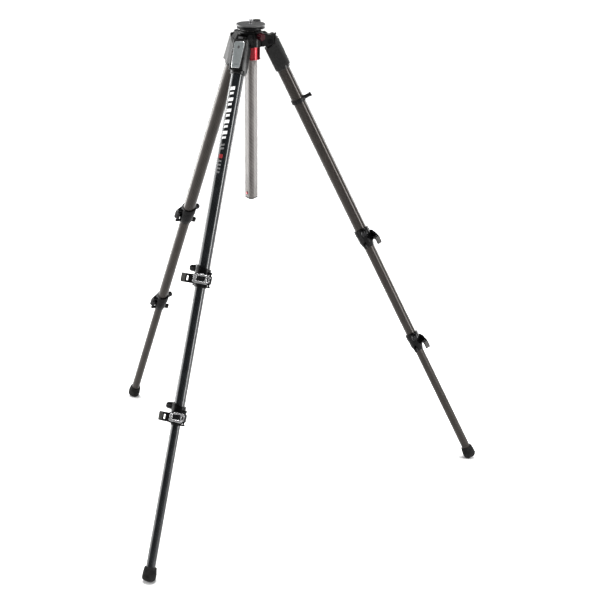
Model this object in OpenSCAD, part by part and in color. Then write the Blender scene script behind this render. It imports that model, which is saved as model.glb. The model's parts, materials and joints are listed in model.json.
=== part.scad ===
// Three-section tripod with a flip-lock on every leg joint and a sliding centre column.
// Origin: centre of the head plate's top face. +Z is up, along the column.
// Leg parts are drawn in the leg's own frame: origin on the hinge, +Z down the leg,
// +X outward from the column and +Y to the left as seen from outside.

/* [Stance] */
// Angle of each leg from the vertical, standing
splay = 25.85; // [22:0.05:28]
// Distance of each leg hinge from the column axis
hinge_radius = 40; // [38:0.5:44]
// Depth of the leg hinges below the head plate's top
hinge_drop = 36; // [35:0.5:38]
// Direction of the front leg, seen from above
front_azimuth = -90; // [-90:1:-90]

/* [Head] */
// Diameter of the head plate
plate_d = 62; // [58:1:62]
// Thickness of the head plate
plate_t = 4; // [3:0.5:4]
// Diameter of the head stud, a 1/4 inch thread
stud_d = 6.35; // [6.35:0.01:6.35]
// Height of the stud above the plate
stud_h = 8.8; // [8:0.2:10]

/* [Spider] */
// Diameter of the hub
hub_d = 52; // [48:1:52]
// Depth of the hub's top face below the plate
hub_top = 19; // [19:0.5:20]
// Depth of the hub's lower face below the plate
hub_bottom = 47.6; // [46:0.2:47.6]
// Space between the two ears of a hinge
ear_gap = 19; // [19:0.2:20]
// Width over the two ears of a hinge
ear_width = 33; // [32:0.5:34]
// Radius of the round end of an ear
ear_r = 9; // [8:0.5:9]
// Radius of a hinge bolt
bolt_r = 3.5; // [3:0.1:3.6]

/* [Column] */
// Radius of the column's rounded corners
column_corner = 7; // [6:0.5:7]
// Distance from the axis to the centre of each rounded corner
column_reach = 8.08; // [7:0.1:8.1]
// Depth of the column's lower end below the plate
column_bottom = 388; // [340:1:400]
// Direction of the column's front corner, seen from above
column_azimuth = -66.3; // [-70:0.1:-60]
// Outer radius of the red bush below the hub
bush_r = 20; // [19:0.5:20]
// Depth of the bush's lower end below the plate
bush_bottom = 76; // [70:1:80]

/* [Legs] */
// Outer radii of the three tubes, widest first
tube_r = [14, 12, 10]; // [8:0.5:14]
// Wall thickness of the tubes
tube_wall = 1.4; // [1.2:0.1:1.4]
// Distance down the leg to the upper clamp
upper_clamp_at = 480; // [470:1:490]
// Distance down the leg to the lower clamp
lower_clamp_at = 773; // [760:1:780]
// Distance down the leg to the foot's rim
foot_at = 1120; // [1100:1:1130]
// Length of the middle and lower tubes
section_length = 500; // [490:1:505]
// Distance down the leg to the end of the casting
casting_end = 69; // [66:1:72]
// Distance down the right leg to the strap ring
strap_at = 148; // [120:1:200]

/* [Clamps] */
// Length of a clamp along the leg
clamp_length = 49; // [48.5:0.5:50]
// Height of the clamp's fixed collar, above the lever
collar_h = 19; // [18.8:0.1:19]
// How far the upper lever's finger tab reaches to the left
tab_reach = 42; // [40:0.5:43]
// Turn of the levers about the leg, seen from above
lever_turn = -21; // [-23:1:-19]

/* [Hidden] */
$fn = 64;
LEGS = ["front", "right", "left"];
LEG_PARTS = ["leg_casting", "label_plate", "angle_button", "upper_tube", "upper_clamp",
    "upper_clamp_screws", "upper_lever", "upper_lever_trim", "middle_tube", "lower_clamp",
    "lower_clamp_screws", "lower_lever", "lower_lever_trim", "lower_tube", "foot"];
CENTRE_PARTS = ["spider", "column_bush", "hinge_bolts", "column_lock_knob", "level_ring",
    "level_vial", "center_column", "column_head", "head_plate", "head_stud",
    "plate_set_screws", "column_end_cap", "column_release_button", "strap_ring"];

slip = 0.05;                            // radial gap of a pin in its hole
slide_gap = 0.1;                        // radial gap of a sliding tube
boss_r = 20;                            // boss that carries the level ring
boss_top = 15.2;                        // depth of the boss's top below the plate
bush_inner_r = 18;                      // bush inside the hub
bush_top = 24;                          // depth of the bush's top below the plate
bush_play = 0.3;                        // gap between the bush and the column
column_wall = 1.6;
column_top = 14.8;                      // depth of the tube's upper end
cap_t = 2.5;                            // flange of the column's end cap
ring_upper = 7.2;                       // depth of the upper edge of the ring below the plate
ring_lower = 10;                        // depth of the ring's lower edge
neck_r = 12;
hook_depth = 16.5;                      // how far the tab's end turns in from the lever's face
stud_root_r = 4.4;                      // stud inside the plate and the column head
screw_circle = 20;                      // radius of the set screws' circle
lock_azimuth = -30;
lock_depth = 24;
knob_r = 7.8;
knob_from = 32;                         // distance of the knob's inner face from the axis
knob_to = 43.5;
level_azimuth = 96;
vial_at = 41;                           // distance of the level's centre from the axis
vial_cup_r = 9;
vial_top = 1.2;                         // height of the level's cup above the plate
button_up = column_bottom - 12;         // depth of the release button
casting_half = ear_width / 2;
casting_in = -17;                       // inner face of the leg casting
casting_out = 18.7;                     // outer face of the leg casting
tube_seat = 22;                         // distance down the leg to the top of the upper tube
tongue_r = 12.5;
tongue_w = ear_gap - 0.6;
latch_at = -6.4;                        // place of the angle button along the leg
latch_face = 15.7;                      // face that the angle button is pressed towards
casting_brow = [17, -3.5];              // blunt corner between that face and the outer face
casting_shoulder = 1.5;                 // where the outer face begins
seat_in_clamp = 20;                     // how far a tube goes into its clamp
boss_x = 2;                             // tension screw's boss, on the left of a clamp
boss_z = 10;
lug_turn = 115;                         // direction of a clamp's rear lug
ear_low = 45;                           // start of the ear below a lever
slot_z = 34;                            // middle of the slot in a finger tab
foot_ball_r = 22;
foot_ball_at = foot_at + 9;
foot_r = 14.7;

// ---------- helpers ----------

function leg_azimuth(i) = front_azimuth + 120 * i;

// Children drawn in a leg's own frame, put in place.
module on_leg(i)
    rotate([0, 0, leg_azimuth(i)])
        translate([hinge_radius, 0, -hinge_drop])
            rotate([0, 180 - splay, 0])
                rotate([0, 0, 180])
                    children();

// A flat outline in X and Z, extruded to a width centred on Y.
module side(width)
    rotate([90, 0, 0])
        linear_extrude(width, center = true)
            children();

// A cylinder between two depths below the plate.
module drum(r, top, bottom)
    translate([0, 0, -bottom])
        cylinder(r = r, h = bottom - top);

// A triangle with round corners of radius r. Its sides lie a hair inside the corners' tangents.
module rounded_triangle(r) {
    side_r = r - 0.01;
    corners = [for (k = [0:2]) column_azimuth + 120 * k];
    for (a = corners)
        rotate([0, 0, a])
            translate([column_reach, 0])
                rotate([0, 0, 180])
                    circle(r);
    polygon([for (a = corners) for (turn = [-60, 60])
        column_reach * [cos(a), sin(a)] + side_r * [cos(a + turn), sin(a + turn)]]);
}

module column_solid(r, top, bottom)
    translate([0, 0, -bottom])
        linear_extrude(bottom - top)
            rounded_triangle(r);

// A rectangle from x0 to x1, centred on Y, with its corners rounded: r0 at x0 and r1 at x1.
module rounded_block(x0, x1, half, r0, r1) {
    for (s = [-1, 1]) {
        translate([x0 + r0, s * (half - r0)]) circle(r0);
        translate([x1 - r1, s * (half - r1)]) circle(r1);
    }
    translate([x0 + r0, -half]) square([x1 - x0 - r0 - r1, 2 * half]);
    translate([x0, -(half - r0)]) square([r0 + 1, 2 * (half - r0)]);
    translate([x1 - r1 - 1, -(half - r1)]) square([r1 + 1, 2 * (half - r1)]);
}

// The axis of the column lock, with +Z pointing out from the column.
module lock_axis()
    rotate([0, 0, lock_azimuth])
        translate([0, 0, -lock_depth])
            rotate([0, 90, 0])
                children();

// The axis of the release button, with +Z pointing out of the column's left face.
module button_axis()
    rotate([0, 0, column_azimuth - 60])
        translate([0, 0, -button_up])
            rotate([0, 90, 0])
                children();

// ---------- centre ----------

// Outline of an arm in X and Z, from inside the hub to the hinge.
module arm_outline() {
    translate([hinge_radius, -hinge_drop]) circle(ear_r);
    polygon([
        [bush_inner_r + 4, -hub_top],
        [hinge_radius - 7, -hub_top],
        [hinge_radius + 0.62 * ear_r, -hinge_drop + 0.784 * ear_r],
        [hinge_radius + 0.15 * ear_r, -hinge_drop - 0.988 * ear_r],
        [hub_d / 2 - 2, -hub_bottom],
        [bush_inner_r + 4, -hub_bottom]
    ]);
}

module spider() color("#141416") difference() {
    union() {
        drum(hub_d / 2, hub_top, hub_bottom);
        drum(boss_r, boss_top, hub_top);
        drum(boss_r + 0.7, boss_top, boss_top + 0.5);
        for (i = [0:2])
            rotate([0, 0, leg_azimuth(i)])
                difference() {
                    side(ear_width) arm_outline();
                    translate([hub_d / 2 - 0.5, -ear_gap / 2, -hub_bottom - 1])
                        cube([40, ear_gap, hub_bottom]);
                }
        lock_axis()
            translate([0, 0, hub_d / 2 - 3])
                cylinder(r = 5, h = knob_from - 1 - (hub_d / 2 - 3));
    }
    column_solid(column_corner + bush_play, boss_top - 1, bush_top + 1);
    drum(bush_inner_r + slip, bush_top, hub_bottom + 1);
    for (i = [0:2])
        rotate([0, 0, leg_azimuth(i)])
            translate([hinge_radius, 0, -hinge_drop])
                rotate([90, 0, 0]) {
                    cylinder(r = bolt_r + slip, h = ear_width + 2, center = true);
                    for (s = [-1, 1])
                        translate([0, 0, s * (casting_half - 1)])
                            cylinder(r = 5.7, h = 2.02, center = true);
                }
    lock_axis() cylinder(r = 3 + slip, h = knob_from);
}

module column_bush() color("#b3202b") difference() {
    union() {
        drum(bush_inner_r, bush_top + slip, hub_bottom + 1);
        drum(bush_r, hub_bottom, bush_bottom - 2.5);
        drum(bush_r + 0.6, bush_bottom - 2.5, bush_bottom);
    }
    column_solid(column_corner + bush_play, bush_top - 1, bush_bottom + 1);
}

module hinge_bolts() color("silver")
    for (i = [0:2])
        rotate([0, 0, leg_azimuth(i)])
            translate([hinge_radius, 0, -hinge_drop])
                rotate([90, 0, 0]) {
                    cylinder(r = bolt_r, h = ear_width - 2, center = true);
                    for (s = [-1, 1])
                        translate([0, 0, s * (casting_half - 1.1)])
                            difference() {
                                cylinder(r = 5.6, h = 1.8, center = true);
                                translate([0, 0, s])
                                    cylinder(r = 2, h = 1.2, center = true, $fn = 6);
                            }
                }

module column_lock_knob() color("#8c1622") lock_axis() {
    translate([0, 0, bush_inner_r + 0.4])
        cylinder(r = 3, h = knob_from - bush_inner_r);
    difference() {
        union() {
            translate([0, 0, knob_from]) cylinder(r = knob_r, h = knob_to - knob_from - 1.5);
            translate([0, 0, knob_to - 1.5]) cylinder(r1 = knob_r, r2 = knob_r - 1.5, h = 1.5);
        }
        for (a = [0:45:315])
            rotate([0, 0, a])
                translate([knob_r + 1.6, 0, knob_from + 2.5])
                    cylinder(r = 2.6, h = knob_to - knob_from);
    }
}

module level_ring() color("#1b1c1e") rotate([0, 0, level_azimuth]) difference() {
    union() {
        drum(boss_r + 3.5, boss_top + 0.8, hub_top - 0.3);
        translate([boss_r, -5, -hub_top + 0.3])
            cube([plate_d / 2 + 3.2 - boss_r, 10, hub_top - 0.3 - boss_top - 0.8]);
        translate([plate_d / 2 + 0.9, -5, -hub_top + 0.3])
            cube([2.3, 10, 10]);
        translate([vial_at, 0, -13.9]) cylinder(r = vial_cup_r, h = 13.9 + vial_top);
    }
    drum(boss_r + slide_gap, boss_top - 1, hub_top + 1);
    translate([vial_at, 0, -5]) cylinder(r = vial_cup_r - 1.5, h = 8);
}

module level_vial() color("#c9d8a0") rotate([0, 0, level_azimuth]) {
    translate([vial_at, 0, -5]) cylinder(r = vial_cup_r - 1.5 - slip, h = 5.6);
    translate([vial_at, 0, 0.6]) cylinder(r1 = vial_cup_r - 1.55, r2 = vial_cup_r - 2.4, h = 0.4);
}

module center_column() color("#4a4845") difference() {
    column_solid(column_corner, column_top, column_bottom - cap_t);
    column_solid(column_corner - column_wall, column_top - 1, column_bottom);
    button_axis() translate([0, 0, column_reach / 2]) cylinder(r = 3.5 + slip, h = 30);
}

module column_head() color("#232426") difference() {
    union() {
        drum(plate_d / 2 - 3.4, plate_t, ring_upper);
        drum(plate_d / 2 - 1, ring_upper, ring_lower);
        translate([0, 0, -14]) cylinder(r1 = neck_r, r2 = plate_d / 2 - 2, h = 14 - ring_lower);
        drum(neck_r, ring_lower, column_top);
        column_solid(column_corner - column_wall - slip, column_top, 45);
    }
    drum(stud_root_r + slip, 0, 32);
    for (k = [0:2])
        rotate([0, 0, 120 * k + 30])
            translate([screw_circle, 0, 0])
                drum(2 + slip, 0, 15);
}

module head_plate() color("#2c2d2f") difference() {
    union() {
        drum(plate_d / 2, 0.6, plate_t);
        translate([0, 0, -0.6]) cylinder(r1 = plate_d / 2, r2 = plate_d / 2 - 0.6, h = 0.6);
    }
    drum(stud_root_r + slip, -1, plate_t + 1);
    for (k = [0:2])
        rotate([0, 0, 120 * k + 30])
            translate([screw_circle, 0, 0])
                drum(2 + slip, -1, plate_t + 1);
}

module head_stud() color("#3a3b3d") difference() {
    union() {
        drum(stud_root_r, 0, 32);
        cylinder(r = stud_d / 2, h = stud_h - 1);
        translate([0, 0, stud_h - 1]) cylinder(r1 = stud_d / 2, r2 = stud_d / 2 - 0.8, h = 1);
    }
    translate([0, 0, stud_h - 3]) cylinder(r = 1.5, h = 4, $fn = 6);
}

module plate_set_screws() color("#5a5a5a")
    for (k = [0:2])
        rotate([0, 0, 120 * k + 30])
            translate([screw_circle, 0, 0])
                difference() {
                    drum(2, 0.8, ring_lower - 0.5);
                    drum(1.1, 0, 3, $fn = 6);
                }

module column_end_cap() color("#1b1c1e") difference() {
    union() {
        column_solid(column_corner, column_bottom - cap_t, column_bottom);
        column_solid(column_corner - column_wall - slip, column_bottom - 24, column_bottom - cap_t);
    }
    button_axis() translate([0, 0, 2]) cylinder(r = 3.5 + slip, h = 30);
}

module column_release_button() color("#a01c26") button_axis()
    translate([0, 0, 4])
        cylinder(r = 3.5, h = column_reach / 2 + column_corner + 1.6 - 4);

// Clip ring round the right leg's upper tube, with a peg for a strap.
module strap_ring() color("#17181a") on_leg(1) translate([0, 0, strap_at]) difference() {
    union() {
        translate([0, 0, -4]) cylinder(r = tube_r[0] + 2.4, h = 8);
        rotate([0, 90, 0]) cylinder(r = 4, h = tube_r[0] + 17);
        translate([tube_r[0] + 13, 0, 0]) rotate([0, 90, 0]) cylinder(r = 4.8, h = 4);
    }
    cylinder(r = tube_r[0] + slip, h = 40, center = true);
}

// ---------- leg top ----------

// The part of the casting beside the ears: its upper edge clears them as the leg folds and spreads.
module cheek_outline()
    polygon([
        [casting_in, 12.9], [casting_in + 3.4, 12.6], [0, 10.4], [7, 7.6], [9.9, 3.2],
        [latch_face, -4.2], casting_brow, [casting_out, casting_shoulder],
        [casting_out, 62], [casting_in, 62]
    ]);

// The tongue between the ears, with the block that holds the angle button.
module tongue_outline() {
    circle(tongue_r);
    polygon([
        [-tongue_r, 0], [-tongue_r, 14], [casting_out, 14], [casting_out, casting_shoulder],
        casting_brow, [latch_face, -4.2], [latch_face, -8.8], [12.5, -11], [8, -11]
    ]);
}

module leg_casting() color("#2e2f31") difference() {
    union() {
        intersection() {
            translate([0, 0, -6])
                linear_extrude(70)
                    rounded_block(casting_in, casting_out, casting_half, 9, 5);
            side(2 * casting_half + 2) cheek_outline();
        }
        side(tongue_w) tongue_outline();
        translate([0, 0, 56]) cylinder(r = tube_r[0] + 2.8, h = casting_end - 57);
        translate([0, 0, casting_end - 1])
            cylinder(r1 = tube_r[0] + 2.8, r2 = tube_r[0] + 2, h = 1);
    }
    rotate([90, 0, 0]) cylinder(r = bolt_r + slip, h = 60, center = true);
    translate([0, 0, tube_seat]) cylinder(r = tube_r[0] + slip, h = 60);
    translate([6.5, 0, latch_at]) rotate([0, 90, 0]) cylinder(r = 1.8 + slip, h = 20);
}

module label_plate() color("#a9adae") translate([casting_out, 0, 0]) rotate([0, 90, 0])
    linear_extrude(1.3)
        polygon([[-2.4, -8.6], [-2.4, 8.6], [-5.6, 11.2], [-56.4, 8.8], [-58, 7.2],
            [-58, -7.2], [-56.4, -8.8], [-5.6, -11.2]]);

module angle_button() color("#3b3c3e") {
    translate([9, 0, latch_at]) rotate([0, 90, 0]) cylinder(r = 1.8, h = 9);
    translate([17.6, -5, latch_at - 2.2]) cube([1.6, 10, 4]);
}

// ---------- tubes ----------

// A tube of outer radius r between two places on the leg.
module tube(r, from, to)
    difference() {
        translate([0, 0, from]) cylinder(r = r, h = to - from);
        translate([0, 0, from - 1]) cylinder(r = r - tube_wall, h = to - from + 2);
    }

module upper_tube() color("#33322f") tube(tube_r[0], tube_seat, upper_clamp_at + seat_in_clamp);

// A sliding section: its tube, with a guide collar at the top that fits inside the tube above.
module sliding_section(k, from, to) {
    guide_r = tube_r[k - 1] - tube_wall - slide_gap;
    difference() {
        union() {
            translate([0, 0, from]) cylinder(r = tube_r[k], h = to - from);
            translate([0, 0, from]) cylinder(r = guide_r, h = 30);
        }
        translate([0, 0, from - 1]) cylinder(r = tube_r[k] - tube_wall, h = to - from + 2);
    }
}

module middle_tube() color("#33322f")
    sliding_section(1, lower_clamp_at + seat_in_clamp - section_length,
        lower_clamp_at + seat_in_clamp);

module lower_tube() color("#33322f")
    sliding_section(2, foot_at + 6 - section_length, foot_at + 6);

module foot() color("#101010") difference() {
    intersection() {
        translate([0, 0, foot_at])
            rotate_extrude()
                polygon([[0, 0], [12.2, 0], [12.9, 0.8], [foot_r, 12], [foot_r, 19],
                    [foot_r - 1, 40], [0, 40]]);
        translate([0, 0, foot_ball_at]) sphere(foot_ball_r, $fn = 96);
    }
    translate([0, 0, foot_at - 1]) cylinder(r = tube_r[2] + slip, h = 7);
}

// ---------- clamps ----------

// Place of a clamp's lever pin in the lever's turned frame, for a fixed tube of radius r.
function pin_u(r) = r - 0.6;
function pin_v(r) = -(r + 4);
// How much a lever's width shrinks with its tube.
function lever_scale(r) = (r + 4) / 18;

// Both ears that hold a lever's pin, one above the lever and one below it.
module pin_ears(k) {
    r = tube_r[k];
    reach = norm([pin_u(r), pin_v(r)]);
    rotate([0, 0, lever_turn + atan2(pin_v(r), pin_u(r))]) {
        for (ear = [[r + 1, collar_h - 3.5, 3.5], [tube_r[k + 1] + 0.6, ear_low, 3]]) {
            translate([ear[0], -3, ear[1]]) cube([reach - ear[0], 6, ear[2]]);
            translate([reach, 0, ear[1]]) cylinder(r = 3.2, h = ear[2]);
        }
    }
}

// Fixed half of a clamp: a collar on the tube above and a funnel round the sliding tube.
module clamp_body(k) {
    r = tube_r[k];
    difference() {
        union() {
            difference() {
                cylinder(r = r + 3.2, h = collar_h + 1);
                translate([0, 0, 5])
                    rotate([-14, 0, 0])
                        translate([-40, -40, -40]) cube([80, 80, 40]);
            }
            translate([0, 0, collar_h]) cylinder(r = r + 2.5, h = 17);
            translate([0, 0, collar_h + 17])
                cylinder(r1 = r + 2.5, r2 = tube_r[k + 1] + 1.2, h = clamp_length - collar_h - 17);
            translate([boss_x, r - 2, boss_z])
                rotate([-90, 0, 0]) cylinder(r1 = 8.7, r2 = 6.5, h = 15);
            translate([boss_x, r + 13, boss_z])
                rotate([-90, 0, 0]) cylinder(r1 = 6.5, r2 = 5.2, h = 2);
            rotate([0, 0, lug_turn]) {
                translate([tube_r[k + 1] + 0.6, -3.4, 37]) cube([r + 6 - tube_r[k + 1], 6.8, 9]);
                translate([r + 6.6, 0, 37]) cylinder(r = 3.9, h = 9);
            }
            pin_ears(k);
        }
        translate([0, 0, -1]) cylinder(r = r + slip, h = seat_in_clamp + 1);
        translate([0, 0, seat_in_clamp - 1])
            cylinder(r = tube_r[k + 1] + slide_gap, h = clamp_length);
        translate([boss_x, r + 0.5, boss_z]) rotate([-90, 0, 0]) cylinder(r = 2.5 + slip, h = 30);
        translate([boss_x, r + 12.4, boss_z]) rotate([-90, 0, 0]) cylinder(r = 4.2, h = 5);
        rotate([0, 0, lever_turn])
            translate([pin_u(r), pin_v(r), collar_h - 2.5]) cylinder(r = 1.8 + slip, h = 40);
    }
}

// Tension screw and lever pin.
module clamp_screws(k) {
    r = tube_r[k];
    translate([boss_x, r + 0.6, boss_z])
        rotate([-90, 0, 0])
            difference() {
                union() {
                    cylinder(r = 2.5, h = 12);
                    translate([0, 0, 11.9]) cylinder(r = 4.1, h = 1.9);
                }
                translate([0, 0, 12.4]) cylinder(r = 2, h = 3, $fn = 6);
            }
    rotate([0, 0, lever_turn])
        translate([pin_u(r), pin_v(r), collar_h - 2.4])
            cylinder(r = 1.8, h = ear_low + 5 - collar_h);
}

// Outline of a lever seen from its outer side: across to the left, and down the leg.
module lever_outline(s)
    polygon([
        [tab_reach * s + 1, 24.5], [20 * s, 24.5], [5.7 * s, 19.4], [-17 * s, 21],
        [-24 * s, 25], [-23 * s, 39], [-12 * s, 44.5], [18 * s, 43.6], [tab_reach * s + 1, 43.2]
    ]);

// Flip lever, closed: it wraps the clamp's outer side from the pin to the finger tab.
module clamp_lever(k) {
    r = tube_r[k];
    s = lever_scale(r);
    face = r + 8;
    rotate([0, 0, lever_turn])
        difference() {
            intersection() {
                translate([0, 0, 18])
                    linear_extrude(30) {
                        translate([pin_u(r), pin_v(r)]) circle(4.6);
                        polygon([
                            [pin_u(r), pin_v(r) - 4.6], [face - 2.5, pin_v(r) - 4],
                            [face, pin_v(r) - 1.5], [face, 17 * s], [face - 1.7, 24 * s],
                            [face - 7, tab_reach * s], [face - hook_depth, tab_reach * s - 1.2],
                            [face - hook_depth, tab_reach * s - 4.4], [face - 9, tab_reach * s - 3.6],
                            [face - 5.2, 24 * s], [face - 4, 16 * s], [face - 4, 3 - r],
                            [pin_u(r), pin_v(r) + 4.6]
                        ]);
                    }
                rotate([90, 0, 90]) linear_extrude(60) lever_outline(s);
            }
            translate([pin_u(r), pin_v(r), 0]) cylinder(r = 1.8 + slip, h = 60);
            for (z = [-3.4, 3.4])
                translate([0, 28.5 * s, slot_z + z]) rotate([0, 90, 0]) cylinder(r = 1.9, h = 40);
            translate([0, 28.5 * s - 1.8, slot_z - 3.4]) cube([40, 3.6, 6.8]);
        }
}

// Many-sided metal frame on the lever's face, with two windows.
module lever_trim(k) {
    r = tube_r[k];
    s = lever_scale(r);
    rotate([0, 0, lever_turn])
        translate([r + 8, 0, 0])
            rotate([90, 0, 90])
                linear_extrude(1)
                    difference() {
                        polygon([[17 * s, 26.3], [5.7 * s, 21.4], [-16.5 * s, 22.9], [-18.6 * s, 26],
                            [-18 * s, 37.6], [-11 * s, 42.6], [16 * s, 41.4], [17 * s, 38]]);
                        polygon([[10.4 * s, 26.4], [-8.4 * s, 25.6], [-8.8 * s, 36.8], [10 * s, 37.2]]);
                        polygon([[-12 * s, 27], [-15.8 * s, 27], [-15.4 * s, 37], [-12 * s, 37.4]]);
                    }
}

module upper_clamp() color("#1d1e20") translate([0, 0, upper_clamp_at]) clamp_body(0);
module upper_clamp_screws() color("silver") translate([0, 0, upper_clamp_at]) clamp_screws(0);
module upper_lever() color("#242527") translate([0, 0, upper_clamp_at]) clamp_lever(0);
module upper_lever_trim() color("#c0c2c4") translate([0, 0, upper_clamp_at]) lever_trim(0);
module lower_clamp() color("#1d1e20") translate([0, 0, lower_clamp_at]) clamp_body(1);
module lower_clamp_screws() color("silver") translate([0, 0, lower_clamp_at]) clamp_screws(1);
module lower_lever() color("#242527") translate([0, 0, lower_clamp_at]) clamp_lever(1);
module lower_lever_trim() color("#c0c2c4") translate([0, 0, lower_clamp_at]) lever_trim(1);

// ---------- the whole ----------

spider();
column_bush();
hinge_bolts();
column_lock_knob();
level_ring();
level_vial();
center_column();
column_head();
head_plate();
head_stud();
plate_set_screws();
column_end_cap();
column_release_button();
strap_ring();
for (i = [0:2]) {
    leg = LEGS[i];
    on_leg(i) leg_casting();
    on_leg(i) label_plate();
    on_leg(i) angle_button();
    on_leg(i) upper_tube();
    on_leg(i) upper_clamp();
    on_leg(i) upper_clamp_screws();
    on_leg(i) upper_lever();
    on_leg(i) upper_lever_trim();
    on_leg(i) middle_tube();
    on_leg(i) lower_clamp();
    on_leg(i) lower_clamp_screws();
    on_leg(i) lower_lever();
    on_leg(i) lower_lever_trim();
    on_leg(i) lower_tube();
    on_leg(i) foot();
}
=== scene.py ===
"""Looks of a three-section carbon tripod with flip locks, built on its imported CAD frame."""

import json
import math

import bmesh
import bpy
from mathutils import Matrix, Vector


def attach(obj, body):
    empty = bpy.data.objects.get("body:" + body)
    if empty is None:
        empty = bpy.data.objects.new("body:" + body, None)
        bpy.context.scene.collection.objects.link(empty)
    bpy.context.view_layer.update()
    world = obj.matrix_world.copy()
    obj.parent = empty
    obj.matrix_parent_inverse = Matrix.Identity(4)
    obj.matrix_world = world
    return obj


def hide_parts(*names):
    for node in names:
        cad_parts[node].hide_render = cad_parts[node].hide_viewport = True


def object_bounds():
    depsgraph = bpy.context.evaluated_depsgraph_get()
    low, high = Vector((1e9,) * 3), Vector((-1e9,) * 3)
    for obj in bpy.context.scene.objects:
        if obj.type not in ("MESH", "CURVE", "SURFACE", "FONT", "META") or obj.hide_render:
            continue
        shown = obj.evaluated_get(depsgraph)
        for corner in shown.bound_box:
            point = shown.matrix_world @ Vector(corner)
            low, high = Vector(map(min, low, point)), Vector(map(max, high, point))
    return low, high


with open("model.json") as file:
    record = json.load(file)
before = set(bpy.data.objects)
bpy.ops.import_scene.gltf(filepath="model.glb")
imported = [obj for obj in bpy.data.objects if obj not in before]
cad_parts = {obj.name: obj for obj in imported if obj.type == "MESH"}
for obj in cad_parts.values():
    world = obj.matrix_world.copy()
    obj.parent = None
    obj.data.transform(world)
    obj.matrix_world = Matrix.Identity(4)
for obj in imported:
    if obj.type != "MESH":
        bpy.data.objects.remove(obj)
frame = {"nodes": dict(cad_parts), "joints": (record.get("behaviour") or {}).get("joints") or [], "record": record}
NODES = frame["nodes"]
JOINTS = {joint["name"]: joint for joint in frame["joints"]}
LEGS = ("front", "right", "left")
MM = 0.001
cad_low, cad_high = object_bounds()


# ---------- camera and light ----------

# The camera's direction in degrees, its lens in mm, and its place in metres from the head plate.
CAMERA_AZIMUTH = -21.6
CAMERA_PITCH = 20.82
CAMERA_ROLL = 0.53
CAMERA_LENS = 83.99
CAMERA_PLACE = Vector((1.2134, -2.7631, 0.5133))
SENSOR_WIDTH = 36
CLIP_START, CLIP_END = 0.05, 60

# The world is bright near the horizon, where the floor ends, and dim overhead. The heights are the
# direction's Z, where the one turns into the other.
WORLD_LOW, WORLD_HIGH = 1.1, 0.14
WORLD_FADE_FROM, WORLD_FADE_TO = 0.05, 0.32
GAMMA = 0.84
FLOOR_HALF = 40
FLOOR_GAP = 0.0002
SUN_STRENGTH = 4.0
SUN_ANGLE = 34

# Name, turn from the camera's side and rise in degrees, then distance, width and height in
# metres, and watts.
SOFTBOXES = (
    ("top_box", -8, 74, 2.4, 1.7, 1.5, 11),
    ("right_strip", 66, 10, 2.6, 0.6, 2.4, 66),
    ("right_low", 126, 2, 2.6, 0.8, 1.6, 30),
    ("left_box", -92, 10, 2.7, 2.0, 2.0, 70),
    ("left_low", -128, 2, 2.6, 0.9, 1.6, 42),
)


def make_camera():
    azimuth, pitch, roll = (math.radians(a) for a in (CAMERA_AZIMUTH, CAMERA_PITCH, CAMERA_ROLL))
    forward = Vector((math.sin(azimuth) * math.cos(pitch), math.cos(azimuth) * math.cos(pitch),
                      -math.sin(pitch)))
    level = Vector((math.cos(azimuth), -math.sin(azimuth), 0))
    up = level.cross(forward)
    right = level * math.cos(roll) + up * math.sin(roll)
    top = up * math.cos(roll) - level * math.sin(roll)
    data = bpy.data.cameras.new("camera")
    data.lens = CAMERA_LENS
    data.sensor_width = SENSOR_WIDTH
    data.clip_start = CLIP_START
    data.clip_end = CLIP_END
    camera = bpy.data.objects.new("camera", data)
    bpy.context.scene.collection.objects.link(camera)
    turn = Matrix((right, top, -forward)).transposed()
    camera.matrix_world = Matrix.Translation(CAMERA_PLACE) @ turn.to_4x4()
    bpy.context.scene.camera = camera


def softbox(name, turn, rise, distance, width, height, power):
    """A rectangular light, aimed at the tripod's middle."""
    middle = (cad_low + cad_high) / 2
    facing = math.atan2(CAMERA_PLACE.y, CAMERA_PLACE.x) + math.radians(turn)
    flat = distance * math.cos(math.radians(rise))
    offset = Vector((flat * math.cos(facing), flat * math.sin(facing),
                     distance * math.sin(math.radians(rise))))
    data = bpy.data.lights.new(name, "AREA")
    data.shape = "RECTANGLE"
    data.size = width
    data.size_y = height
    data.energy = power
    light = bpy.data.objects.new(name, data)
    bpy.context.scene.collection.objects.link(light)
    light.location = middle + offset
    light.rotation_mode = "QUATERNION"
    light.rotation_quaternion = (-offset).to_track_quat("-Z", "Y")
    light.visible_camera = False


def make_world():
    world = bpy.data.worlds.new("studio")
    world.use_nodes = True
    tree = world.node_tree
    tree.nodes["Background"].inputs["Color"].default_value = (1, 1, 1, 1)
    direction = tree.nodes.new("ShaderNodeTexCoord").outputs["Generated"]
    split = tree.nodes.new("ShaderNodeSeparateXYZ")
    fade = tree.nodes.new("ShaderNodeMapRange")
    for socket, value in (("From Min", WORLD_FADE_FROM), ("From Max", WORLD_FADE_TO),
                          ("To Min", WORLD_LOW), ("To Max", WORLD_HIGH)):
        fade.inputs[socket].default_value = value
    tree.links.new(direction, split.inputs["Vector"])
    tree.links.new(split.outputs["Z"], fade.inputs["Value"])
    tree.links.new(fade.outputs["Result"], tree.nodes["Background"].inputs["Strength"])
    bpy.context.scene.world = world


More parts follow.
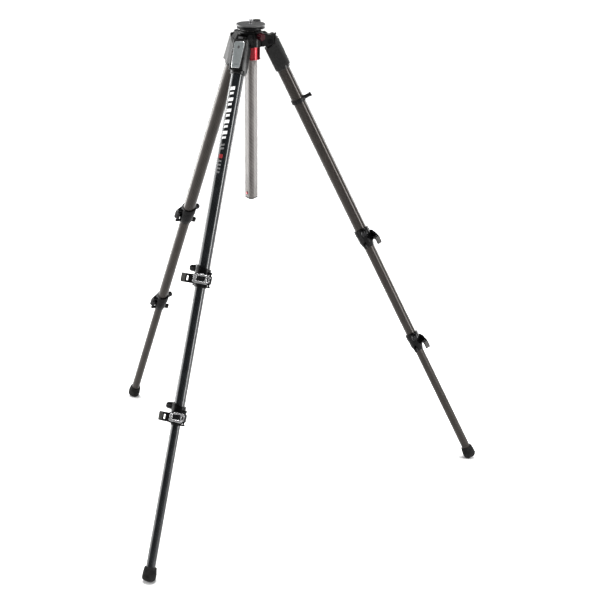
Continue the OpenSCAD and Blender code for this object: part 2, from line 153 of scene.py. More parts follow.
def make_studio():
    make_world()
    bpy.context.scene.view_settings.view_transform = "Standard"
    bpy.context.scene.view_settings.gamma = GAMMA
    bm = bmesh.new()
    bmesh.ops.create_grid(bm, x_segments=8, y_segments=8, size=FLOOR_HALF)
    floor = add_mesh("studio_floor", bm)
    floor.location = (0, 0, cad_low.z - FLOOR_GAP)
    floor.data.materials.append(floor_paint())
    data = bpy.data.lights.new("overhead", "SUN")
    data.energy = SUN_STRENGTH
    data.angle = math.radians(SUN_ANGLE)
    sun = bpy.data.objects.new("overhead", data)
    bpy.context.scene.collection.objects.link(sun)
    for settings in SOFTBOXES:
        softbox(*settings)


# ---------- node graphs ----------

# Sockets of the Mix node, which has one set for each kind of value.
MIX_FACTOR = 0
MIX_COLOR_A, MIX_COLOR_B, MIX_COLOR_OUT = 6, 7, 2
MIX_FLOAT_A, MIX_FLOAT_B, MIX_FLOAT_OUT = 2, 3, 0

# Heights of the surface grain, in metres.
FAINT_GRAIN = 0.000002
SMOOTH_GRAIN = 0.000005
FINE_GRAIN = 0.00001
GRAIN = 0.00002
MOULDED_GRAIN = 0.00004
RUBBER_GRAIN = 0.00006

# Noise scales, from broad changes of colour to the finest grain.
FLOOR_SCALE = 3
DRIFT_SCALE = 60
MOTTLE_SCALE = 70
DUST_SCALE = 90
GLOSS_SCALE = 240
RUBBER_GLOSS_SCALE = 300
CLEAR_GLOSS_SCALE = 500
STREAK_SCALE = 700
WEAR_SCALE = 900
RUBBER_GRAIN_SCALE = 1800
GRAIN_SCALE = 2600
NOISE_ROUGHNESS = 0.55

# Where a convex edge starts to count as worn, on the Pointiness scale.
EDGE_FROM, EDGE_WIDTH = 0.58, 0.06

# A twill repeats every four tows. The tow offset keeps the count above nought all round the tube.
TOW_WIDTH = 2.0
TWILL_REPEAT = 4.0
TOW_OFFSET = 4000.0
WEAVE_STRENGTH = 0.12
WEAVE_COAT_ROUGHNESS = 0.09
CLEAR_ROUGHNESS = 0.02
CLEAR_IOR = 1.45


class Graph:
    """A material and short ways to add nodes to it."""

    def __init__(self, name, color, roughness, metallic=0.0):
        self.material = bpy.data.materials.new(name)
        self.material.use_nodes = True
        self.tree = self.material.node_tree
        self.shader = self.tree.nodes["Principled BSDF"]
        self.set("Base Color", (*color, 1))
        self.set("Roughness", roughness)
        self.set("Metallic", metallic)

    def set(self, socket, value):
        self.shader.inputs[socket].default_value = value

    def add(self, kind, inputs=None, **settings):
        node = self.tree.nodes.new(kind)
        for key, value in settings.items():
            setattr(node, key, value)
        for key, value in (inputs or {}).items():
            self.plug(value, node.inputs[key])
        return node

    def plug(self, value, socket):
        if isinstance(value, bpy.types.NodeSocket):
            self.tree.links.new(value, socket)
        else:
            socket.default_value = value

    def math(self, operation, *values):
        node = self.add("ShaderNodeMath", operation=operation)
        for place, value in enumerate(values):
            self.plug(value, node.inputs[place])
        return node.outputs[0]

    def place(self, scale=(1, 1, 1), use_uv=False):
        source = self.add("ShaderNodeTexCoord").outputs["UV" if use_uv else "Object"]
        return self.add("ShaderNodeMapping", {"Vector": source, "Scale": scale}).outputs[0]

    def noise(self, scale, detail=3.0, stretch=(1, 1, 1)):
        return self.add("ShaderNodeTexNoise", {
            "Vector": self.place(stretch), "Scale": scale,
            "Detail": detail, "Roughness": NOISE_ROUGHNESS}).outputs["Fac"]

    def ramp(self, value, low, high, low_at=0.35, high_at=0.65):
        return self.add("ShaderNodeMapRange", {
            "Value": value, "From Min": low_at, "From Max": high_at,
            "To Min": low, "To Max": high}).outputs["Result"]

    def blend(self, factor, first, second):
        node = self.add("ShaderNodeMix", data_type="RGBA")
        self.plug(factor, node.inputs[MIX_FACTOR])
        for place, value in ((MIX_COLOR_A, first), (MIX_COLOR_B, second)):
            color = value if isinstance(value, bpy.types.NodeSocket) else (*value, 1)
            self.plug(color, node.inputs[place])
        return node.outputs[MIX_COLOR_OUT]

    def bump(self, height, distance, strength=1.0):
        inputs = {"Height": height, "Distance": distance, "Strength": strength}
        return self.add("ShaderNodeBump", inputs).outputs[0]

    def link(self, value, socket):
        self.tree.links.new(value, self.shader.inputs[socket])


def edge_wear(graph):
    """A patchy mask that is strongest along worn convex edges."""
    point = graph.add("ShaderNodeNewGeometry").outputs["Pointiness"]
    edge = graph.ramp(point, 0.0, 1.0, EDGE_FROM, EDGE_FROM + EDGE_WIDTH)
    return graph.math("MULTIPLY", edge, graph.ramp(graph.noise(WEAR_SCALE), 0.1, 0.5))


def paint(name, color, worn, roughness, grain, coat=0.0, coat_roughness=0.1, specular=0.3):
    """Painted or moulded surface: fine grain, slight colour drift and worn edges."""
    graph = Graph(name, color, roughness)
    drift = graph.ramp(graph.noise(DRIFT_SCALE), 0.0, 1.0)
    darker = tuple(c * 0.78 for c in color)
    base = graph.blend(drift, darker, color)
    graph.link(graph.blend(edge_wear(graph), base, worn), "Base Color")
    gloss = graph.ramp(graph.noise(GLOSS_SCALE), roughness * 0.88, roughness * 1.15)
    graph.link(gloss, "Roughness")
    graph.link(graph.bump(graph.noise(GRAIN_SCALE, 2.0), grain), "Normal")
    graph.set("Specular IOR Level", specular)
    graph.set("Coat Weight", coat)
    graph.set("Coat Roughness", coat_roughness)
    return graph.material


def metal(name, color, roughness, stretch, grain=GRAIN, metallic=1.0, coat=0.0):
    """Brushed, turned or anodised metal: fine streaks along one direction."""
    graph = Graph(name, color, roughness, metallic)
    streak = graph.noise(STREAK_SCALE, 4.0, stretch)
    darker = tuple(c * 0.8 for c in color)
    graph.link(graph.blend(graph.ramp(streak, 0.0, 1.0), darker, color), "Base Color")
    graph.link(graph.ramp(streak, roughness * 0.75, roughness * 1.25), "Roughness")
    graph.link(graph.bump(streak, grain), "Normal")
    graph.set("Coat Weight", coat)
    return graph.material


def carbon(name, dark, light, roughness, coat, tint=(1, 1, 1), specular=0.3):
    """Twill-woven carbon under clear coat, with a painted sheen that lightens warp tows and tow crowns. UVs are in
    millimetres round and along the tube.
    """
    graph = Graph(name, dark, roughness)
    tows = graph.place((1 / TOW_WIDTH, 1 / TOW_WIDTH, 1), True)
    split = graph.add("ShaderNodeSeparateXYZ", {"Vector": tows})
    across, along = split.outputs[0], split.outputs[1]
    step = graph.math("ADD", graph.math("FLOOR", across), graph.math("FLOOR", along))
    warp = graph.math("MODULO", graph.math("ADD", step, TOW_OFFSET), TWILL_REPEAT)
    warp = graph.math("LESS_THAN", warp, TWILL_REPEAT / 2)
    round_across = graph.math("MULTIPLY", graph.math("FRACT", across), math.pi)
    round_across = graph.math("SINE", round_across)
    round_along = graph.math("MULTIPLY", graph.math("FRACT", along), math.pi)
    round_along = graph.math("SINE", round_along)
    crown = graph.add("ShaderNodeMix", {
        MIX_FACTOR: warp, MIX_FLOAT_A: round_along, MIX_FLOAT_B: round_across},
        data_type="FLOAT").outputs[MIX_FLOAT_OUT]
    mottle = graph.ramp(graph.noise(MOTTLE_SCALE, 4.0, (1, 1, 0.4)), 0.0, 1.0)
    # Painted sheen: warp tows are painted lighter than weft tows, and each tow lighter along its crown than at its
    # edges, in place of the weave's reflections; the mottle adds random tone.
    sheen_and_mottle = graph.math("ADD", graph.math("MULTIPLY", warp, 0.6), 0.2)
    sheen_and_mottle = graph.math("MULTIPLY", graph.math("MULTIPLY", sheen_and_mottle, crown), 0.7)
    sheen_and_mottle = graph.math("ADD", sheen_and_mottle, graph.math("MULTIPLY", mottle, 0.35))
    graph.link(graph.blend(sheen_and_mottle, dark, light), "Base Color")
    graph.link(graph.ramp(mottle, roughness * 0.9, roughness * 1.1, 0, 1), "Roughness")
    graph.link(graph.bump(crown, GRAIN, WEAVE_STRENGTH), "Normal")
    graph.set("Specular IOR Level", specular)
    graph.set("Specular Tint", (*tint, 1))
    graph.set("Coat Weight", coat)
    graph.set("Coat Roughness", WEAVE_COAT_ROUGHNESS)
    return graph.material


def rubber(name, color, dusty):
    """Rubber with dust on it and a coarse grain."""
    graph = Graph(name, color, 0.75)
    dust = graph.ramp(graph.noise(DUST_SCALE, 5.0), 0.0, 0.5)
    graph.link(graph.blend(dust, color, dusty), "Base Color")
    graph.link(graph.ramp(graph.noise(RUBBER_GLOSS_SCALE), 0.6, 0.85), "Roughness")
    graph.set("Specular IOR Level", 0.2)
    graph.link(graph.bump(graph.noise(RUBBER_GRAIN_SCALE), RUBBER_GRAIN), "Normal")
    return graph.material


def clear(name, color):
    graph = Graph(name, color, CLEAR_ROUGHNESS)
    graph.set("Transmission Weight", 1.0)
    graph.set("IOR", CLEAR_IOR)
    noise = graph.noise(CLEAR_GLOSS_SCALE)
    rough = graph.ramp(noise, CLEAR_ROUGHNESS, CLEAR_ROUGHNESS + 0.05)
    graph.link(rough, "Roughness")
    return graph.material


def floor_paint():
    graph = Graph("studio_floor", (0.90, 0.90, 0.90), 0.6)
    graph.link(graph.ramp(graph.noise(FLOOR_SCALE), 0.55, 0.65), "Roughness")
    return graph.material


def grey(value):
    return (value, value, value)


# Every paint and moulding: colour, colour where worn, roughness, and what differs from plain paint.
PAINTS = (
    ("cast_black", (0.002, 0.002, 0.0025), grey(0.03), 0.18,
     {"grain": FAINT_GRAIN, "coat": 0.12, "coat_roughness": 0.04, "specular": 0.08}),
    ("cast_grey", (0.007, 0.0069, 0.0067), grey(0.05), 0.30,
     {"grain": FINE_GRAIN, "specular": 0.34}),
    ("recess_black", (0.006, 0.006, 0.007), grey(0.02), 0.35, {"grain": GRAIN}),
    ("clamp_black", (0.003, 0.003, 0.0033), grey(0.05), 0.26, {"grain": GRAIN, "specular": 0.16}),
    ("lever_black", (0.006, 0.006, 0.0065), grey(0.07), 0.24,
     {"grain": MOULDED_GRAIN, "specular": 0.24}),
    ("black_plastic", (0.006, 0.006, 0.0065), grey(0.05), 0.38,
     {"grain": MOULDED_GRAIN, "specular": 0.2}),
    ("black_metal", (0.006, 0.006, 0.0065), grey(0.08), 0.36,
     {"grain": FINE_GRAIN, "specular": 0.16}),
    ("plate_metal", (0.075, 0.075, 0.076), grey(0.20), 0.40, {"grain": MOULDED_GRAIN}),
    ("grip_grey", (0.085, 0.083, 0.08), grey(0.25), 0.45, {"grain": MOULDED_GRAIN}),
    ("button_grey", (0.08, 0.08, 0.083), grey(0.2), 0.4, {"grain": MOULDED_GRAIN}),
    ("red_knob", (0.036, 0.002, 0.006), (0.18, 0.02, 0.03), 0.18,
     {"grain": FINE_GRAIN, "coat": 0.12, "coat_roughness": 0.05, "specular": 0.12}),
    ("red_button", (0.30, 0.010, 0.018), (0.5, 0.08, 0.08), 0.28, {"grain": GRAIN, "coat": 0.4}),
    ("window_black", (0.008, 0.008, 0.009), grey(0.03), 0.30, {"grain": FINE_GRAIN, "coat": 0.3}),
    ("mark_white", (0.72, 0.72, 0.71), grey(0.8), 0.45, {"grain": FINE_GRAIN}),
    ("mark_red", (0.17, 0.008, 0.014), (0.5, 0.1, 0.1), 0.45, {"grain": FINE_GRAIN}),
    ("mark_grey", grey(0.13), grey(0.3), 0.45, {"grain": FINE_GRAIN}),
)

# Every metal: colour, roughness, the streaks' stretch, and what differs from bare brushed metal.
METALS = (
    ("red_anodised", (0.205, 0.011, 0.018), 0.24, (1, 1, 14),
     {"grain": SMOOTH_GRAIN, "metallic": 0.9, "coat": 0.4}),
    ("dark_steel", (0.045, 0.045, 0.047), 0.3, (1, 1, 10), {}),
    ("steel", (0.36, 0.36, 0.365), 0.34, (1, 1, 10), {}),
    ("trim_silver", (0.93, 0.93, 0.94), 0.22, (12, 1, 1), {"grain": FINE_GRAIN, "metallic": 0.9}),
    ("label_silver", (0.36, 0.385, 0.39), 0.36, (1, 1, 12),
     {"grain": FINE_GRAIN, "metallic": 0.7}),
)

MATERIALS = {name: paint(name, *values, **extras) for name, *values, extras in PAINTS}
MATERIALS.update({name: metal(name, *values, **extras) for name, *values, extras in METALS})
MATERIALS["carbon"] = carbon(
    "carbon", (0.005, 0.0043, 0.0038), (0.026, 0.0215, 0.0185), roughness=0.32, coat=0.42,
    tint=(1.0, 0.86, 0.76), specular=0.2)
MATERIALS["carbon_front"] = carbon(
    "carbon_front", (0.004, 0.0045, 0.005), (0.020, 0.023, 0.026), roughness=0.26, coat=0.6)
MATERIALS["column_carbon"] = carbon(
    "column_carbon", (0.078, 0.072, 0.068), (0.17, 0.158, 0.150), roughness=0.42, coat=0.14,
    specular=0.2)
MATERIALS["foot_rubber"] = rubber("foot_rubber", grey(0.006), (0.03, 0.029, 0.028))
MATERIALS["vial"] = clear("vial", (0.80, 0.93, 0.55))
MATERIALS["bubble"] = clear("bubble", grey(1.0))


# ---------- mesh helpers ----------

SMOOTH_ANGLE = 35.0
BEVEL_ANGLE = 32.0
MERGE_DISTANCE = 0.00002
FLAT_ANGLE = 1.0


def add_mesh(name, bm):
    """Makes an object from a bmesh, with smooth shading up to an angle."""
    bmesh.ops.recalc_face_normals(bm, faces=bm.faces)
    for face in bm.faces:
        face.smooth = True
    limit = math.radians(SMOOTH_ANGLE)
    for edge in bm.edges:
        edge.smooth = len(edge.link_faces) == 2 and edge.calc_face_angle(0) < limit
    mesh = bpy.data.meshes.new(name)
    bm.to_mesh(mesh)
    bm.free()
    thing = bpy.data.objects.new(name, mesh)
    bpy.context.scene.collection.objects.link(thing)
    return thing


def finish_piece(piece, body, material, replaces=()):
    """Gives a piece its material, record slot and body."""
    piece.data.materials.clear()
    piece.data.materials.append(MATERIALS[material])
    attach(piece, body)
    if replaces:
        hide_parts(*replaces)
    return piece


def slot_of(node):
    subparts = frame["record"]["subparts"]
    return next(part["material_slot"] for part in subparts if part["node"] == node)


def body_of(node):
    bodies = frame["record"]["behaviour"]["bodies"]
    return next(name for name, nodes in bodies.items() if node in nodes)


def span_of(points):
    """Lowest and highest corner of a list of points."""
    low = Vector(min(p[i] for p in points) for i in range(3))
    high = Vector(max(p[i] for p in points) for i in range(3))
    return low, high


def cad_span(node):
    """Lowest and highest corner of a node, in millimetres."""
    return span_of([v.co / MM for v in NODES[node].data.vertices])


def refined(node, bevel=0.5, segments=2, material=None):
    """A piece with a CAD node's own shape and rounded edges, which stands for the node."""
    bm = bmesh.new()
    bm.from_mesh(NODES[node].data)
    bmesh.ops.remove_doubles(bm, verts=bm.verts, dist=MERGE_DISTANCE)
    bmesh.ops.dissolve_limit(bm, angle_limit=math.radians(FLAT_ANGLE), verts=bm.verts,
                             edges=bm.edges)
    piece = add_mesh(node + "_shape", bm)
    cut = piece.modifiers.new("edges", "BEVEL")
    cut.width = bevel * MM
    cut.segments = segments
    cut.limit_method = "ANGLE"
    cut.angle_limit = math.radians(BEVEL_ANGLE)
    cut.harden_normals = True
    slot = slot_of(node)
    return finish_piece(piece, body_of(node), material or slot, (node,))


def to_metres(bm, matrix):
    """Takes a shape drawn in millimetres to its place."""
    bmesh.ops.transform(bm, matrix=matrix @ Matrix.Scale(MM, 4), verts=bm.verts)


def lathe(profile, matrix, name, segments=96):
    """A closed solid turned about Z from (radius, z) points in millimetres, UVs in millimetres."""
    bm = bmesh.new()
    uv = bm.loops.layers.uv.new("UVMap")
    rings = []
    for radius, z in profile:
        ring = []
        for k in range(segments):
            angle = math.tau * k / segments
            ring.append(bm.verts.new((radius * math.cos(angle), radius * math.sin(angle), z)))
        rings.append(ring)
    widest = max(radius for radius, _ in profile)
    for first, ring in enumerate(rings):
        second = (first + 1) % len(rings)
        following = rings[second]
        for k in range(segments):
            after = (k + 1) % segments
            face = bm.faces.new((ring[k], ring[after], following[after], following[k]))
            lap = 1 if k >= segments / 2 else 0
            corners = zip(face.loops, (k, k + 1, k + 1, k), (first, first, second, second))
            for loop, turn, row in corners:
                around = (turn / segments - lap) * math.tau
                loop[uv].uv = (around * widest, profile[row][1])
    to_metres(bm, matrix)
    return add_mesh(name, bm)


def slab(points, low, high, matrix, name, bevel, along_z=False):
    """A flat piece with eased edges: a (y, z) outline along X, or an (x, y) outline along Z."""
    bm = bmesh.new()
    near = [bm.verts.new((*p, low) if along_z else (low, *p)) for p in points]
    far = [bm.verts.new((*p, high) if along_z else (high, *p)) for p in points]
    bm.faces.new(near)
    bm.faces.new(far)
    for k in range(len(points)):
        after = (k + 1) % len(points)
        bm.faces.new((near[k], near[after], far[after], far[k]))
    bmesh.ops.recalc_face_normals(bm, faces=bm.faces)
    bmesh.ops.bevel(bm, geom=list(bm.edges), offset=bevel, segments=2, affect="EDGES",
                    profile=0.5)
    to_metres(bm, matrix)
    return add_mesh(name, bm)


def box_outline(low_a, low_b, high_a, high_b):
    return [(low_a, low_b), (high_a, low_b), (high_a, high_b), (low_a, high_b)]


def grown(points, by):
    """An outline whose points are moved away from its middle, by a distance along each axis."""
    count = len(points)
    middle_y = sum(p[0] for p in points) / count
    middle_z = sum(p[1] for p in points) / count
    return [(y + math.copysign(by, y - middle_y), z + math.copysign(by, z - middle_z))
            for y, z in points]


# ---------- legs ----------

# Each tube's outer radius in millimetres and the body it rides on.
TUBES = (("upper_tube", 14, "leg"), ("middle_tube", 12, "middle"), ("lower_tube", 10, "lower"))
TUBE_WALL = 1.4
EASED = 0.4
GUIDE_LENGTH = 30

FOOT_BORE = 10.2
FOOT_COLLAR = 12.9
FOOT_GROOVES = (5.2, 8.0, 10.8)
FOOT_TAPER = 12
BALL_RADIUS = 22.0
BALL_DOWN = 9
BALL_STEPS = 8
AXIS_HOLE = 0.4

MARK_STEPS = 10
MARK_SUNK, MARK_PROUD = 0.05, 0.08

LABEL = [(-8.6, 2.4), (8.6, 2.4), (11.2, 5.6), (8.8, 56.4),
         (7.2, 58), (-7.2, 58), (-8.8, 56.4), (-11.2, 5.6)]
BADGE_AT = 14
BADGE_HALF_WIDTH, BADGE_HALF_HEIGHT = 2.6, 3.4
BADGE_POINTS = 24

# Each clamp: its start down the leg, the radius of the tube above it and the body it rides on.
CLAMPS = (("upper", 480, 14, "leg"), ("lower", 773, 12, "middle"))
CLAMP_RIBS_AT = (6.5, 10.5, 14.5)
CLAMP_RIB_FROM, CLAMP_RIB_TO = -2, 12.5

# The levers are drawn for the upper clamp and scaled along V for the lower one.
LEVER_TURN = -21.0
LEVER_FACE = 8
LEVER_RING = 4
UPPER_LEVER_RADIUS = 18
BAR_SUNK = 0.3
TAB_FROM = 24
TAB_REACH = 42.0
TAB_RIBS_DOWN = (27, 40.8)
PAD_AT = (33, 34.6, 36.2, 37.8, 39.4, 41)
LINING_AT = (30.5, 36.6)


class LegFrame:
    """The leg's own frame: origin on the hinge, Z down the leg, X outward, Y left from outside."""

    def __init__(self, leg):
        spread = JOINTS[leg + "_spread"]
        y = Vector(spread["axis"])
        z = Vector(JOINTS[leg + "_middle_slide"]["axis"])
        x = y.cross(z)
        turn = Matrix((x, y, z)).transposed().to_4x4()
        self.matrix = Matrix.Translation(Vector(spread["pos_m"])) @ turn
        self.inverse = self.matrix.inverted()

    def span(self, node):
        """Lowest and highest corner of a node in the leg's frame, in millimetres."""
        return span_of([self.inverse @ v.co / MM for v in NODES[node].data.vertices])


def leg_tubes(leg, place):
    lacquer = "carbon_front" if leg == "front" else "carbon"
    for part, radius, body in TUBES:
        node = f"{leg}_{part}"
        low, high = place.span(node)
        start, end = low.z, high.z
        inner = radius - TUBE_WALL
        if part == "upper_tube":
            profile = [(inner, start), (radius - EASED, start), (radius, start + EASED)]
        else:
            guide = high.x
            guide_end = start + GUIDE_LENGTH
            profile = [(inner, start), (guide - EASED, start), (guide, start + EASED),
                       (guide, guide_end - EASED), (radius, guide_end)]
        profile += [(radius, end - EASED), (radius - EASED, end), (inner, end)]
        piece = lathe(profile, place.matrix, node + "_weave", 128)
        finish_piece(piece, f"{leg}_{body}", lacquer, (node,))


def leg_foot(leg, place):
    node = leg + "_foot"
    low, high = place.span(node)
    rim, barrel = low.z, high.x
    outer = [(FOOT_BORE, rim), (12.2, rim), (FOOT_COLLAR, rim + 0.8), (13.5, rim + 4.0)]
    for groove in FOOT_GROOVES:
        wide = FOOT_COLLAR + (barrel - FOOT_COLLAR) * groove / FOOT_TAPER
        outer += [(wide - 0.1, rim + groove - 0.8), (wide - 0.7, rim + groove - 0.4),
                  (wide - 0.7, rim + groove + 0.2), (wide, rim + groove + 0.6)]
    outer += [(barrel, rim + 13), (barrel, rim + 19), (barrel - 0.1, rim + 24)]
    start = math.acos((barrel - 0.1) / BALL_RADIUS)
    for step in range(1, BALL_STEPS + 1):
        angle = start + (math.pi / 2 - start) * step / BALL_STEPS
        outer.append((max(BALL_RADIUS * math.cos(angle), AXIS_HOLE),
                      rim + BALL_DOWN + BALL_RADIUS * math.sin(angle)))
    profile = outer + [(AXIS_HOLE, rim + 7), (FOOT_BORE, rim + 7)]
    piece = lathe(profile, place.matrix, node + "_rubber")
    finish_piece(piece, leg + "_lower", "foot_rubber", (node,))


def tube_mark(radius, half, start, end, slant, matrix, name):
    """A thin printed patch that follows a tube's outward side, with its half width in degrees."""
    bm = bmesh.new()
    inner, outer = [], []
    for z_middle in (start, end):
        for shell, reach in ((inner, radius - MARK_SUNK), (outer, radius + MARK_PROUD)):
            ring = []
            for k in range(MARK_STEPS + 1):
                share = k / MARK_STEPS - 0.5
                angle = math.radians(2 * half * share)
                ring.append(bm.verts.new((reach * math.cos(angle), reach * math.sin(angle),
                                          z_middle + slant * share)))
            shell.append(ring)
    for k in range(MARK_STEPS):
        bm.faces.new((outer[0][k], outer[0][k + 1], outer[1][k + 1], outer[1][k]))
        bm.faces.new((inner[0][k], inner[0][k + 1], inner[1][k + 1], inner[1][k]))
        for under, over in zip(inner, outer):
            bm.faces.new((under[k], under[k + 1], over[k + 1], over[k]))
    for k in (0, MARK_STEPS):
        bm.faces.new((inner[0][k], outer[0][k], outer[1][k], inner[1][k]))
    to_metres(bm, matrix)
    return add_mesh(name, bm)


def leg_casting(leg, place):
    """The casting with its button and label plate, the label's raised rim and a plain badge."""
    refined(leg + "_leg_casting", 1.0, 3)
    refined(leg + "_angle_button", 0.5)
    refined(leg + "_label_plate", 0.35)
    face = place.span(leg + "_label_plate")[0].x
    top = face + 1.3
    badge = []
    for k in range(BADGE_POINTS):
        angle = math.tau * k / BADGE_POINTS
        badge.append((BADGE_HALF_WIDTH * math.cos(angle),
                      BADGE_AT + BADGE_HALF_HEIGHT * math.sin(angle)))
    for name, paint_name, outline, low, high, bevel in (
            ("_label_surround", "window_black", grown(LABEL, 1.7), face - 0.3, face + 0.55, 0.25),
            ("_label_rim", "trim_silver", grown(LABEL, 0.9), face - 0.3, face + 1.05, 0.4),
            ("_label_badge", "button_grey", badge, top - 0.4, top + 0.3, 0.12),
            ("_label_bar", "button_grey", box_outline(-4.5, 50.5, 4.5, 51.5),
             top - 0.4, top + 0.2, 0.08)):
        piece = slab(outline, low, high, place.matrix, leg + name, bevel)
        finish_piece(piece, leg + "_leg", paint_name)


def leg_marks(leg, place):
    """Plain printed bars on the upper tube: start, end, slant, half width in degrees, and paint."""
    radius = place.span(leg + "_upper_tube")[1].x
    marks = []
    for k in range(10):
        end, half = ((105.5, 22.0), (103, 17.0))[k % 2]
        marks.append((98 + 12 * k, end + 12 * k, 2.0, half, "mark_white"))
    marks += [(222 + 8 * k, 226 + 8 * k, 2.0, 17.0, "mark_grey") for k in range(2)]
    marks += [(244, 253, 0.0, 18.0, "mark_red")]
    marks += [(257 + 8 * k, 261 + 8 * k, 0.0, 15.0, "mark_grey") for k in range(4)]
    for start, end, slant, half, paint_name in marks:
        mark = tube_mark(radius, half, start, end, slant, place.matrix, leg + "_tube_mark")
        finish_piece(mark, leg + "_leg", paint_name)


class Lever:
    """A lever's details, drawn with U out of its face, V to the left along it, Z down the leg."""

    def __init__(self, flip, start, radius, place):
        self.flip = flip
        self.start = start
        self.face = radius + LEVER_FACE
        self.share = (radius + LEVER_RING) / UPPER_LEVER_RADIUS
        self.matrix = place.matrix @ Matrix.Rotation(math.radians(LEVER_TURN), 4, "Z")

    def bar(self, name, paint_name, v_low, v_high, down, height, proud):
        """A raised bar on the lever's face."""
        z = self.start + down
        outline = box_outline(v_low * self.share, z, v_high * self.share, z + height)
        piece = slab(outline, self.face - BAR_SUNK, self.face + proud, self.matrix,
                     self.flip + name, 0.2)
        finish_piece(piece, self.flip, paint_name)

    def grip(self, name, points, down, bevel=0.2):
        """A grey grip on the finger tab: a (u, v) outline between two distances down the clamp."""
        piece = slab(points, self.start + down[0], self.start + down[1], self.matrix,
                     self.flip + name, bevel, True)
        finish_piece(piece, self.flip, "grip_grey")

    def band(self, name, ends, sunk, proud, down):
        """A grip in a straight band between two (u, v) points."""
        (u_0, v_0), (u_1, v_1) = ends
        self.grip(name, [(u_0 - sunk, v_0), (u_0 + proud, v_0), (u_1 + proud, v_1),
                         (u_1 - sunk, v_1)], down)

    def side(self, drop, fall, length, places):
        """Points on a side of the tab, from its drop below the face and its fall over a length."""
        return [(self.face - drop - fall * (v - TAB_FROM) / length, v * self.share)
                for v in places]

    def draw_face(self):
        for k in range(5):
            self.bar("_rib", "window_black", -8, 9.6, 27.2 + 2.2 * k, 1, 0.5)
        for k in range(4):
            self.bar("_grip", "button_grey", -15, -12.4, 28 + 2.5 * k, 1.2, 0.6)

    def draw_tab(self):
        """Pads on the tab's outer side, its inner side and its turned-in end, with ribs on two."""
        face, reach = self.face, TAB_REACH * self.share
        outer = self.side(1.7, 5.3, 18, PAD_AT)
        inner = self.side(5.2, 4.6, 17.4, LINING_AT)
        self.band("_pad", (outer[0], outer[-1]), 0.4, 0.35, (25.6, 42.2))
        self.band("_lining", inner, 0.6, 0.4, (25.4, 42.4))
        self.grip("_end", [(face - 7.6, reach + 0.3), (face - 15.9, reach - 0.75),
                           (face - 15.9, reach - 1.6), (face - 7.6, reach - 0.5)], (25.8, 42))
        for step in range(4):
            u, v = face - 8.4 - 2.1 * step, reach + 0.2 - 0.27 * step
            self.grip("_rib", [(u, v - 0.3), (u, v + 0.4), (u - 1, v + 0.28),
                               (u - 1, v - 0.42)], TAB_RIBS_DOWN, 0.12)
        for u, v in outer[:-1]:
            self.grip("_rib", [(u - 0.2, v + 0.4), (u + 0.75, v + 0.5), (u + 0.6, v + 1.3),
                               (u - 0.3, v + 1.3)], TAB_RIBS_DOWN, 0.15)


def clamp_ribs(name, start, radius, body, place):
    """Three raised ribs on the clamp's collar, cut from rings to the side where they show."""
    for down in CLAMP_RIBS_AT:
        z = start + down
        ring = lathe([(radius + 2.9, z), (radius + 3.6, z + 0.3), (radius + 3.6, z + 1.1),
                      (radius + 2.9, z + 1.4)], place.matrix, name)
        bm = bmesh.new()
        bm.from_mesh(ring.data)
        gone = []
        for vertex in bm.verts:
            y = (place.inverse @ vertex.co).y / MM
            if y < CLAMP_RIB_FROM or y > CLAMP_RIB_TO:
                gone.append(vertex)
        bmesh.ops.delete(bm, geom=gone, context="VERTS")
        open_edges = [edge for edge in bm.edges if edge.is_boundary]
        bmesh.ops.holes_fill(bm, edges=open_edges, sides=8)
        bmesh.ops.recalc_face_normals(bm, faces=bm.faces)
        bm.to_mesh(ring.data)
        bm.free()
        finish_piece(ring, body, "clamp_black")


def leg_clamps(leg, place):
    for level, start, radius, carrier in CLAMPS:
        clamp = f"{leg}_{level}"
        refined(clamp + "_clamp", 0.7, 3)
        refined(clamp + "_clamp_screws", 0.2, material="dark_steel")
        refined(clamp + "_lever", 0.8, 3)
        refined(clamp + "_lever_trim", 0.3)
        lever = Lever(clamp + "_flip", start, radius, place)
        lever.draw_face()
        lever.draw_tab()
        clamp_ribs(clamp + "_clamp_rib", start, radius, f"{leg}_{carrier}", place)


# ---------- centre ----------

COLUMN_RADIUS = 12
PLATE_BORE = 4.6
PLATE_GROOVES = (27.5, 24.5, 17.0, 10.5)
GROOVE_DEPTH = 0.35
STUD_RADIUS = 3.175
THREAD_DEPTH = 0.5
THREAD_PITCH = 1.08
STUD_SOCKET_DEPTH = 3


def weave_uv(piece, radius):
    """UVs in millimetres round and along Z for a shape whose middle is the column's axis."""
    mesh = piece.data
    layer = mesh.uv_layers.new(name="UVMap")
    for face in mesh.polygons:
        corners = [mesh.vertices[v].co for v in face.vertices]
        turns = [math.atan2(corner.y, corner.x) for corner in corners]
        split = max(turns) - min(turns) > math.pi
        for loop, corner, turn in zip(face.loop_indices, corners, turns):
            around = turn + math.tau if split and turn < 0 else turn
            layer.data[loop].uv = (around * radius, corner.z / MM)


def plate_piece():
    """The head plate, with an eased rim and rings turned into its top face."""
    low, high = cad_span("head_plate")
    rim = high.x
    profile = [(PLATE_BORE, low.z), (rim - 0.5, low.z), (rim, low.z + 0.5),
               (rim, -0.7), (rim - 0.7, 0.0)]
    for ring in PLATE_GROOVES:
        profile += [(ring + 0.45, 0.0), (ring + 0.2, -GROOVE_DEPTH),
                    (ring - 0.2, -GROOVE_DEPTH), (ring - 0.45, 0.0)]
    profile += [(PLATE_BORE, 0.0)]
    plate = lathe(profile, Matrix.Identity(4), "plate_turned", 128)
    finish_piece(plate, "column", "plate_metal", ("head_plate",))


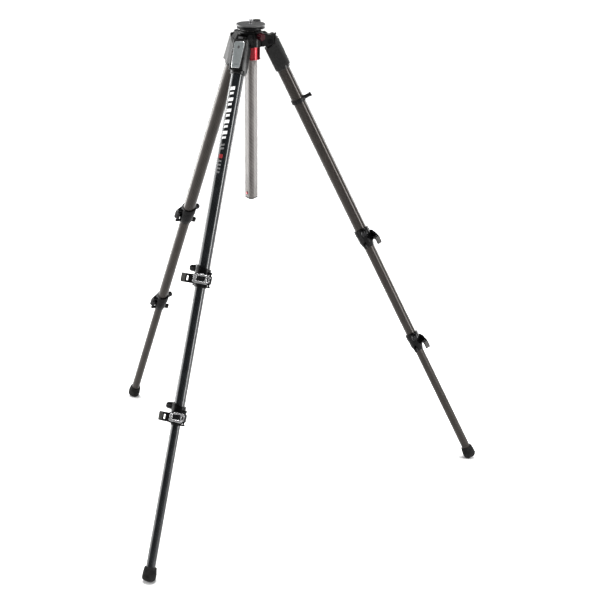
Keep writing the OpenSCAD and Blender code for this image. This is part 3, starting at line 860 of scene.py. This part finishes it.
def stud_piece():
    """The head stud, with rings in place of the thread's helix and a small socket in its end."""
    low, high = cad_span("head_stud")
    socket = high.z - STUD_SOCKET_DEPTH
    root = STUD_RADIUS - THREAD_DEPTH
    thread = [(0.4, socket), (0.4, low.z), (4.4, low.z), (4.4, -0.05), (STUD_RADIUS, -0.05)]
    z = 0.2
    while z < high.z - 1.5:
        thread += [(STUD_RADIUS, z), (STUD_RADIUS, z + 0.25), (root, z + 0.62), (root, z + 0.72)]
        z += THREAD_PITCH
    thread += [(STUD_RADIUS, high.z - 0.9), (STUD_RADIUS - 0.8, high.z), (1.6, high.z),
               (1.5, high.z - 0.1), (1.5, socket)]
    stud = lathe(thread, Matrix.Identity(4), "stud_threaded", 64)
    finish_piece(stud, "column", "steel", ("head_stud",))


def level_pieces():
    """The bubble in the vial, the ring round it and the circle marked on it."""
    low, high = cad_span("level_vial")
    middle = Matrix.Translation((low + high) / 2 * MM)
    top = (high.z - low.z) / 2
    cup = (high.x - low.x) / 2
    bubble = lathe([(0.2, top - 2.6), (1.5, top - 2.3), (2.1, top - 1.6), (1.5, top - 0.9),
                    (0.2, top - 0.7)], middle, "level_bubble", 48)
    finish_piece(bubble, "level", "bubble")
    bezel = lathe([(cup + 0.2, top + 0.1), (cup + 1.2, top + 0.1), (cup + 1.2, top + 0.35),
                   (cup + 1.0, top + 0.5), (cup + 0.4, top + 0.5), (cup + 0.2, top + 0.35)],
                  middle, "level_bezel")
    finish_piece(bezel, "level", "grip_grey")
    mark = lathe([(2.9, top - 0.08), (3.3, top - 0.08), (3.3, top + 0.02), (2.9, top + 0.02)],
                 middle, "level_mark", 64)
    finish_piece(mark, "level", "recess_black")


def centre_parts():
    refined("spider", 1.0, 3)
    refined("column_bush", 0.4)
    refined("hinge_bolts", 0.3, material="cast_black")
    refined("column_lock_knob", 0.6, 3)
    refined("level_ring", 0.5)
    refined("level_vial", 0.1)
    refined("column_head", 0.4)
    refined("plate_set_screws", 0.1)
    refined("column_end_cap", 0.4)
    refined("column_release_button", 0.4)
    refined("strap_ring", 0.5)
    weave_uv(refined("center_column", 0.2), COLUMN_RADIUS)
    plate_piece()
    stud_piece()
    level_pieces()


make_camera()
centre_parts()
for leg_name in LEGS:
    leg_place = LegFrame(leg_name)
    leg_tubes(leg_name, leg_place)
    leg_foot(leg_name, leg_place)
    leg_casting(leg_name, leg_place)
    leg_clamps(leg_name, leg_place)
    if leg_name == "front":
        leg_marks(leg_name, leg_place)
make_studio()
